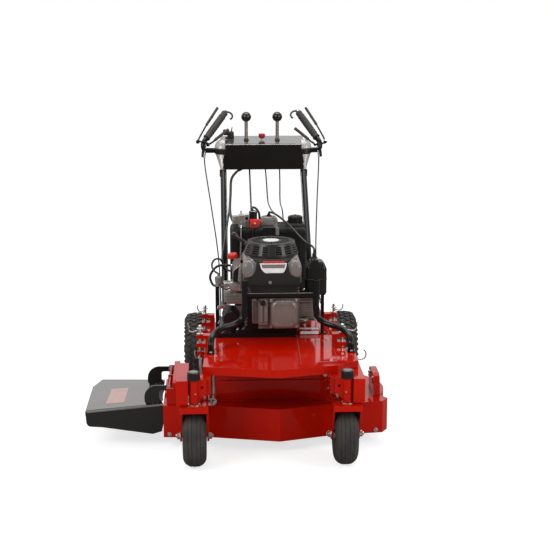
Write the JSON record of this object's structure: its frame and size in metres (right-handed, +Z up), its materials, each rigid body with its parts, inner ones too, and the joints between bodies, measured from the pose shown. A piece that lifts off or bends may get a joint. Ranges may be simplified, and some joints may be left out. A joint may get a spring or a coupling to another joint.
{
  "type": "walk-behind lawn mower",
  "caption": "Petrol walk-behind mower: red frame and floating deck with side chute, front casters, drive wheels, vertical-shaft engine and pistol-grip handles.",
  "frame": {"origin": "middle of the footprint's bounding box, on the floor under the tyres", "axes": "+Z up; the front with the casters faces -Y and the operator stands at +Y; the discharge chute is at -X"},
  "size_m": [1.1838, 1.7144, 1.2032],
  "materials": {
    "red_paint": "glossy orange-red powder coat",
    "black_powder_coat": "satin black powder coat",
    "engine_plastic": "fine-grained dark grey plastic",
    "black_plastic": "fine-grained black plastic",
    "cast_aluminium": "as-cast grey",
    "zinc_steel": "bright zinc plate",
    "rubber": "dull black",
    "tyre": "dusty dark grey",
    "red_plastic": "bright red"
  },
  "bodies": {
    "frame": {"carrier_frame": "red_paint", "right_caster_housing": "red_paint", "left_caster_housing": "red_paint", "right_axle_plate": "red_paint", "left_axle_plate": "red_paint", "engine_guard": "black_powder_coat", "transmission": "cast_aluminium", "engine_block": "black_powder_coat", "cylinder_head": "cast_aluminium", "rocker_cover": "cast_aluminium", "blower_housing": "engine_plastic", "recoil_cover": "black_plastic", "carburettor": "cast_aluminium", "air_cleaner": "engine_plastic", "muffler": "cast_aluminium", "vapour_canister": "black_plastic", "fuel_tank": "black_plastic", "vapour_hose": "rubber", "fuel_hose": "rubber", "handle_frame": "black_powder_coat", "console": "black_powder_coat", "right_handle": "black_powder_coat", "left_handle": "black_powder_coat", "right_control_cable": "rubber", "left_control_cable": "rubber", "shift_rod": "zinc_steel", "wiring_harness": "rubber"},
    "fuel_cap": {"fuel_cap": "black_plastic"},
    "recoil_grip": {"recoil_grip": "black_plastic"},
    "crankshaft": {"crankshaft": "zinc_steel"},
    "transmission_pulley": {"transmission_pulley": "zinc_steel"},
    "jackshaft": {"jackshaft": "zinc_steel"},
    "shift_lever": {"shift_lever": "black_plastic"},
    "blade_lever": {"blade_lever": "black_plastic"},
    "stop_knob": {"stop_knob": "red_plastic"},
    "deck": {"deck_shell": "red_paint", "front_deck_hanger": "zinc_steel", "rear_deck_hanger": "zinc_steel", "chute_bracket": "red_paint"},
    "chute": {"discharge_chute": "black_plastic"},
    "right_caster": {"right_caster_fork": "red_paint"},
    "right_caster_wheel": {"right_caster_rim": "zinc_steel", "right_caster_tyre": "tyre"},
    "right_drive_wheel": {"right_drive_rim": "zinc_steel", "right_drive_tyre": "tyre"},
    "right_presence_lever": {"right_presence_lever": "black_powder_coat"},
    "right_drive_lever": {"right_drive_lever": "black_powder_coat"},
    "right_thumb_latch": {"right_thumb_latch": "black_powder_coat"},
    "right_cutter": {"right_spindle": "zinc_steel", "right_blade": "zinc_steel"},
    "left_caster": {"left_caster_fork": "red_paint"},
    "left_caster_wheel": {"left_caster_rim": "zinc_steel", "left_caster_tyre": "tyre"},
    "left_drive_wheel": {"left_drive_rim": "zinc_steel", "left_drive_tyre": "tyre"},
    "left_presence_lever": {"left_presence_lever": "black_powder_coat"},
    "left_drive_lever": {"left_drive_lever": "black_powder_coat"},
    "left_thumb_latch": {"left_thumb_latch": "black_powder_coat"},
    "left_cutter": {"left_spindle": "zinc_steel", "left_blade": "zinc_steel"}
  },
  "joints": [
    {"name": "right_caster_swivel", "type": "hinge", "parent": "frame", "child": "right_caster", "pos_m": [-0.16506, -0.80275, 0.2585], "axis": [0, 0, 1], "continuous": true},
    {"name": "right_caster_spin", "type": "hinge", "parent": "right_caster", "child": "right_caster_wheel", "pos_m": [-0.16506, -0.74275, 0.1145], "axis": [1, 0, 0], "continuous": true},
    {"name": "right_drive_wheel_spin", "type": "hinge", "parent": "frame", "child": "right_drive_wheel", "pos_m": [-0.15506, 0.29125, 0.165], "axis": [1, 0, 0], "continuous": true},
    {"name": "right_presence_squeeze", "type": "hinge", "parent": "frame", "child": "right_presence_lever", "pos_m": [-0.15934, 0.70606, 1.05703], "axis": [-0.1001, -0.687, 0.7198], "range_deg": [-6, 0], "stiffness_Nm_per_rad": 1.5, "springref_deg": 8.59},
    {"name": "right_drive_squeeze", "type": "hinge", "parent": "frame", "child": "right_drive_lever", "pos_m": [-0.11181, 0.68727, 1.04571], "axis": [-0.1001, -0.687, 0.7198], "range_deg": [0, 12], "stiffness_Nm_per_rad": 2, "springref_deg": -6.88},
    {"name": "right_latch_flip", "type": "hinge", "parent": "frame", "child": "right_thumb_latch", "pos_m": [-0.0273, 0.8216, 1.18567], "axis": [-0.1001, -0.687, 0.7198], "range_deg": [0, 30]},
    {"name": "right_cutter_spin", "type": "hinge", "parent": "deck", "child": "right_cutter", "pos_m": [-0.04806, -0.31275, 0.237], "axis": [0, 0, 1], "continuous": true},
    {"name": "left_caster_swivel", "type": "hinge", "parent": "frame", "child": "left_caster", "pos_m": [0.39894, -0.80275, 0.2585], "axis": [0, 0, 1], "continuous": true},
    {"name": "left_caster_spin", "type": "hinge", "parent": "left_caster", "child": "left_caster_wheel", "pos_m": [0.39894, -0.74275, 0.1145], "axis": [1, 0, 0], "continuous": true},
    {"name": "left_drive_wheel_spin", "type": "hinge", "parent": "frame", "child": "left_drive_wheel", "pos_m": [0.48094, 0.29125, 0.165], "axis": [1, 0, 0], "continuous": true},
    {"name": "left_presence_squeeze", "type": "hinge", "parent": "frame", "child": "left_presence_lever", "pos_m": [0.44159, 0.70542, 1.05618], "axis": [-0.1064, 0.6882, -0.7177], "range_deg": [-6, 0], "stiffness_Nm_per_rad": 1.5, "springref_deg": 8.59},
    {"name": "left_drive_squeeze", "type": "hinge", "parent": "frame", "child": "left_drive_lever", "pos_m": [0.39322, 0.68788, 1.04653], "axis": [-0.1064, 0.6882, -0.7177], "range_deg": [0, 12], "stiffness_Nm_per_rad": 2, "springref_deg": -6.88},
    {"name": "left_latch_flip", "type": "hinge", "parent": "frame", "child": "left_thumb_latch", "pos_m": [0.31714, 0.82465, 1.18895], "axis": [-0.1064, 0.6882, -0.7177], "range_deg": [0, 30]},
    {"name": "left_cutter_spin", "type": "hinge", "parent": "deck", "child": "left_cutter", "pos_m": [0.36194, -0.35275, 0.237], "axis": [0, 0, 1], "continuous": true},
    {"name": "crank_spin", "type": "hinge", "parent": "frame", "child": "crankshaft", "pos_m": [0.14694, -0.20275, 0.3], "axis": [0, 0, 1], "continuous": true},
    {"name": "transmission_pulley_spin", "type": "hinge", "parent": "frame", "child": "transmission_pulley", "pos_m": [0.16294, 0.03725, 0.285], "axis": [0, 0, 1], "continuous": true},
    {"name": "jackshaft_spin", "type": "hinge", "parent": "frame", "child": "jackshaft", "pos_m": [0.16294, 0.09725, 0.335], "axis": [1, 0, 0], "continuous": true},
    {"name": "fuel_cap_turn", "type": "hinge", "parent": "frame", "child": "fuel_cap", "pos_m": [0.26494, 0.14725, 0.77], "axis": [0, 0, 1], "range_deg": [0, 120]},
    {"name": "starter_pull", "type": "slide", "parent": "frame", "child": "recoil_grip", "axis": [-1, 0, 0], "range_m": [0, 0.55], "stiffness_N_per_m": 12, "springref_m": -0.15},
    {"name": "shift_rock", "type": "hinge", "parent": "frame", "child": "shift_lever", "pos_m": [0.06994, 0.75725, 0.99], "axis": [1, 0, 0], "range_deg": [-22, 22]},
    {"name": "blade_rock", "type": "hinge", "parent": "frame", "child": "blade_lever", "pos_m": [0.21694, 0.75725, 0.99], "axis": [1, 0, 0], "range_deg": [-26, 0]},
    {"name": "stop_knob_pull", "type": "slide", "parent": "frame", "child": "stop_knob", "axis": [0, 0, 1], "range_m": [0, 0.012]},
    {"name": "deck_lift", "type": "slide", "parent": "frame", "child": "deck", "axis": [0, 0, 1], "range_m": [0, 0.06]},
    {"name": "chute_fold", "type": "hinge", "parent": "deck", "child": "chute", "pos_m": [-0.26606, -0.54075, 0.235], "axis": [0, 1, 0], "range_deg": [0, 95]}
  ],
  "couplings": [
    {"joint": "transmission_pulley_spin", "follows": "crank_spin", "ratio": 0.6},
    {"joint": "right_cutter_spin", "follows": "crank_spin", "ratio": 0.6667},
    {"joint": "left_cutter_spin", "follows": "crank_spin", "ratio": 0.6667}
  ]
}
